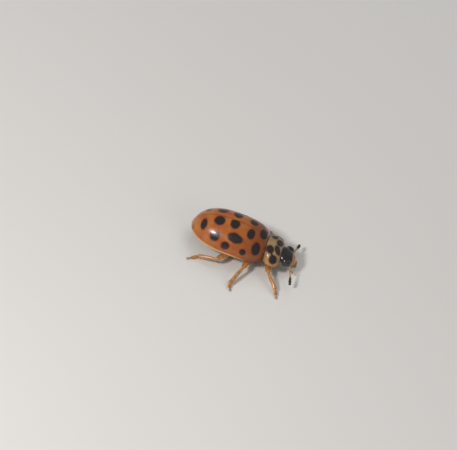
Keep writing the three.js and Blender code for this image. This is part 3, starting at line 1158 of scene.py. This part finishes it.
thigh = limb(
    "thigh",
    28,
    30,
    lambda t: THIGH_HALF_WIDTH * rounded(t, 0.25) * (1 - 0.25 * (2 * t - 0.9) ** 2),
    lambda t: THIGH_HALF_HEIGHT * rounded(t, 0.2) * (1 - 0.2 * t),
)


def shin_arch(t):
    return SHIN_ARCH * math.sin(math.pi * t)


shin_core = limb(
    "shin",
    20,
    36,
    lambda t: rounded(t, 0.08) * (0.052 + 0.022 * t),
    lambda t: rounded(t, 0.08) * (0.05 + 0.018 * t) + shin_arch(t),
    lambda t: -rounded(t, 0.08) * (0.05 + 0.018 * t) + shin_arch(t),
)
laid(shin_core, (0, 0, 0), (SHIN_LENGTH, 0, 0))

select_nothing()
cone = {"vertices": 4, "radius1": HAIR_RADIUS, "radius2": HAIR_TIP_RADIUS, "depth": 1}
bpy.ops.mesh.primitive_cone_add(**cone, rotation=(0, math.pi / 2, 0))
bpy.ops.object.transform_apply()
one_hair = bpy.context.object
set_in(one_hair, Matrix.Translation((0.5, 0, 0)))


def hairs(count, start, end, radius, length, around, seed):
    """Short hairs that lean forward, in rows along a limb that runs along X."""
    chance = random.Random(seed)
    made = []
    for index in range(count):
        x = start + (end - start) * (index + 0.5) / count
        angle = chance.uniform(*around)
        out = Vector((0, math.sin(angle), math.cos(angle)))
        root = Vector((x, 0, 0)) + out * radius * 0.85
        tip = root + (out * 0.65 + Vector((0.76, 0, 0))) * length * chance.uniform(0.8, 1.2)
        made.append(laid(copy_of(one_hair, "hair"), root, tip, up=(0.3, 0.9, 0.2)))
    return made


shin_hairs = hairs(34, 0.12, SHIN_LENGTH - 0.02, 0.06, 0.07, (-math.pi, math.pi), HAIR_SEED)
spurs = hairs(5, SHIN_LENGTH - 0.03, SHIN_LENGTH - 0.01, 0.065, 0.06, (1.8, 4.5), HAIR_SEED + 1)
shin = joined("shin", shin_core, *shin_hairs, *spurs)

narrow_joint = limb(
    "narrow_joint",
    18,
    16,
    lambda t: rounded(t, 0.25) * (0.03 + 0.035 * t),
    lambda t: rounded(t, 0.25) * 0.035,
)
laid(narrow_joint, (0, 0, 0), (NARROW_JOINT_LENGTH, 0, 0))
lobe = limb(
    "lobe",
    16,
    14,
    lambda t: rounded(t, 0.3) * 0.036,
    lambda t: rounded(t, 0.3) * 0.03,
    lambda t: -rounded(t, 0.3) * 0.028,
)
other_lobe = copy_of(lobe, "other_lobe")
for piece, side in ((lobe, 1), (other_lobe, -1)):
    laid(piece, (0.095, side * 0.008, -0.004), (0.21, side * 0.036, -0.012))
long_joint = limb(
    "long_joint",
    14,
    16,
    lambda t: rounded(t, 0.2) * (0.017 + 0.012 * t),
    lambda t: rounded(t, 0.2) * (0.017 + 0.01 * t),
)
laid(long_joint, (0.15, 0, 0.012), (FOOT_LENGTH, 0, 0.004))
pad_hairs = hairs(26, 0.03, 0.2, 0.03, 0.035, (2.2, 4.1), HAIR_SEED + 2)
back_hairs = hairs(12, 0.03, 0.27, 0.03, 0.045, (-1.2, 1.2), HAIR_SEED + 3)
foot = joined("foot", narrow_joint, lobe, other_lobe, long_joint, *pad_hairs, *back_hairs)


def claw_thickness(t):
    """Rounded at the root of a claw, and drawn out to a point."""
    return (1 - t) ** 0.6 * rounded(min(t, 0.5), 0.2)


claw = limb(
    "claw",
    12,
    20,
    lambda t: 0.011 * claw_thickness(t),
    lambda t: 0.016 * claw_thickness(t) - CLAW_HOOK * t**2,
    lambda t: -0.016 * claw_thickness(t) - CLAW_HOOK * t**2,
)
other_claw = copy_of(claw, "other_claw")
for piece, side in ((claw, 1), (other_claw, -1)):
    laid(piece, (0, side * 0.006, 0), (CLAW_LENGTH * 0.9, side * 0.036, 0))
claws = joined("claws", claw, other_claw)

hip_ball = resized(ball("hip", 28, 18), HIP_SIZE)

for (pair, side), bends in LEGS.items():
    name = f"{pair}_{side}"
    hip_x, hip_y = HIPS[pair]
    hip = Vector((hip_x, SIDES[side] * hip_y, HIP_Z))
    knee, ankle, toe = (Vector(bend) for bend in bends)
    trunnion = copy_of(hip_ball, f"hip_{name}")
    set_in(trunnion, Matrix.Translation(hip + Vector((0, 0, HIP_RISE))))
    settle(trunnion, leg_finish, "leg")
    past_knee = knee + (knee - hip).normalized() * KNEE_OVERLAP
    leg_thigh = laid(copy_of(thigh, f"thigh_{name}"), hip, past_knee)
    settle(leg_thigh, leg_finish, "leg", f"{name}_femur")
    leg_shin = laid(copy_of(shin, f"shin_{name}"), knee, ankle, length=SHIN_LENGTH)
    settle(leg_shin, leg_finish, "leg", f"{name}_tibia")
    leg_foot = laid(copy_of(foot, f"foot_{name}"), ankle, toe, length=FOOT_LENGTH)
    settle(leg_foot, leg_finish, "leg", f"{name}_tarsus")
    ahead = (toe - ankle).normalized()
    level = Vector((ahead.x, ahead.y, 0)).normalized()
    claw_ends = (toe - ahead * CLAW_OVERLAP, toe + level * CLAW_LENGTH)
    leg_claws = laid(copy_of(claws, f"claws_{name}"), *claw_ends, length=CLAW_LENGTH)
    settle(leg_claws, claw_finish, "leg")
remove(thigh, shin, foot, claws, hip_ball, one_hair)

# ---- Table, lights and camera ----
# A pale, matt painted table top. A small light stands behind the beetle's right side, and two broad
# ones above and in front, in a dim room. The camera looks down from the beetle's right.

TABLE_WIDTH = 600
VIEW_AZIMUTH = math.radians(0.72)
VIEW_ELEVATION = math.radians(43.07)
VIEW_ROLL = math.radians(19.79)
VIEW_WIDTH = 16.297
LENS_DISTANCE = 200
SENSOR_WIDTH = 36
# Where the camera aims: so far right, up and back from the body's middle, as the camera sees them.
AIM_RIGHT = -0.358
AIM_UP = 0.895
AIM_BACK = 0.41

select_nothing()
bpy.ops.mesh.primitive_plane_add(size=TABLE_WIDTH * MM)
table_top = bpy.context.object
table_top.name = "table_top"
table_finish, place = start_finish("table_paint", Roughness=0.6)
dress(table_finish, place.noise(0.05).blend((0.78, 0.75, 0.72), (0.82, 0.80, 0.77)))
table_top.data.materials.append(table_finish)


def softbox(name, toward, distance, size, power, tint=(1, 1, 1)):
    """A square soft light that shines on the beetle from one side. Sizes are in millimetres."""
    direction = Vector(toward).normalized()
    bpy.ops.object.light_add(type="AREA", location=BODY_MIDDLE + direction * distance * MM)
    light = bpy.context.object
    light.name = name
    light.rotation_euler = direction.to_track_quat("Z", "Y").to_euler()
    light.data.size = size * MM
    light.data.energy = power
    light.data.color = tint
    return light


softbox("key_light", (-0.52, -0.62, 0.69), 60, 9.5, 0.0195)
# Only the key light shows as a highlight.
softbox("front_light", (1.0, -0.6, 0.6), 80, 45, 0.007).visible_glossy = False
softbox("sky_light", (0.2, 0.7, 1.0), 80, 70, 0.0155, (0.93, 0.97, 1)).visible_glossy = False

world = bpy.data.worlds.new("room")
world.use_nodes = True
background = world.node_tree.nodes["Background"].inputs
background["Color"].default_value = (0.95, 0.93, 0.9, 1)
background["Strength"].default_value = 0.28
bpy.context.scene.world = world

level_right = Vector((math.cos(VIEW_AZIMUTH), math.sin(VIEW_AZIMUTH), 0))
level_back = Vector((math.sin(VIEW_AZIMUTH), -math.cos(VIEW_AZIMUTH), 0))
backward = level_back * math.cos(VIEW_ELEVATION) + Vector((0, 0, math.sin(VIEW_ELEVATION)))
level_up = backward.cross(level_right)
right = level_right * math.cos(VIEW_ROLL) + level_up * math.sin(VIEW_ROLL)
upward = level_up * math.cos(VIEW_ROLL) - level_right * math.sin(VIEW_ROLL)
aim = right * AIM_RIGHT + upward * AIM_UP + backward * AIM_BACK
bpy.ops.object.camera_add()
camera = bpy.context.object
turned = Matrix((right, upward, backward)).transposed().to_4x4()
camera.matrix_world = Matrix.Translation(BODY_MIDDLE + (aim + backward * LENS_DISTANCE) * MM) @ turned
camera.data.sensor_width = SENSOR_WIDTH
camera.data.lens = SENSOR_WIDTH * LENS_DISTANCE / VIEW_WIDTH
camera.data.clip_start = 0.001
camera.data.clip_end = 10
bpy.context.scene.camera = camera
bpy.context.scene.view_settings.view_transform = "Standard"
